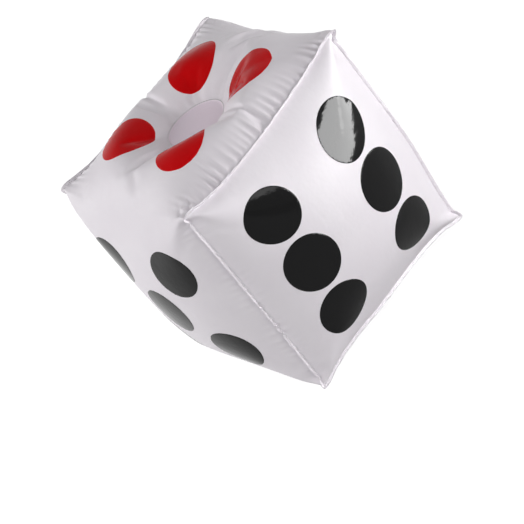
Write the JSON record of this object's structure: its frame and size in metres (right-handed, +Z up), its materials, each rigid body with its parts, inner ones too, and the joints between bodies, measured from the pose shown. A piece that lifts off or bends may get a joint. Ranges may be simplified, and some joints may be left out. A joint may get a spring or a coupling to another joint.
{
  "type": "giant inflatable dice",
  "caption": "Giant blown-up vinyl dice: white film cube with black and red pips, a tied dimple in two opposite faces, standing welded seams and a push-in air valve.",
  "frame": {"origin": "on the floor, under the middle of the dice as it lies on face 3", "axes": "+Z up through face 4, +X out of face 6, -Y out of face 5; the valve is in the middle of face 2, which looks along +Y"},
  "size_m": [0.516, 0.5178, 0.472],
  "materials": {
    "white_film": "glossy white vinyl film",
    "inner_film": "plain vinyl film",
    "red_print": "glossy red print",
    "black_print": "glossy black print",
    "valve_vinyl": "soft moulded vinyl"
  },
  "bodies": {
    "dice_body": {"wrap_panel": "white_film", "end_panel_six": "white_film", "end_panel_one": "white_film", "tie_tube": "inner_film", "tie_disc_four": "inner_film", "tie_disc_three": "inner_film", "pips_one": "red_print", "pips_four": "red_print", "pips_two": "black_print", "pips_three": "black_print", "pips_five": "black_print", "pips_six": "black_print", "valve_base": "valve_vinyl", "valve_skirt": "valve_vinyl"},
    "valve_stem": {"valve_stem": "valve_vinyl", "plug_strap": "valve_vinyl"},
    "valve_plug": {"valve_plug": "valve_vinyl"},
    "valve_flap": {"valve_flap": "valve_vinyl"}
  },
  "joints": [
    {"name": "valve_pull_out", "type": "slide", "parent": "dice_body", "child": "valve_stem", "axis": [0, 1, 0], "range_m": [0, 0.016], "deforming": ["valve_skirt"]},
    {"name": "plug_hinge", "type": "hinge", "parent": "valve_stem", "child": "valve_plug", "pos_m": [0, 0.2583, 0.2455], "axis": [1, 0, 0], "range_deg": [0, 140], "deforming": ["plug_strap"]},
    {"name": "flap_hinge", "type": "hinge", "parent": "valve_stem", "child": "valve_flap", "pos_m": [0, 0.2428, 0.2409], "axis": [-1, 0, 0], "range_deg": [0, 60], "stiffness_Nm_per_rad": 0.00005}
  ]
}
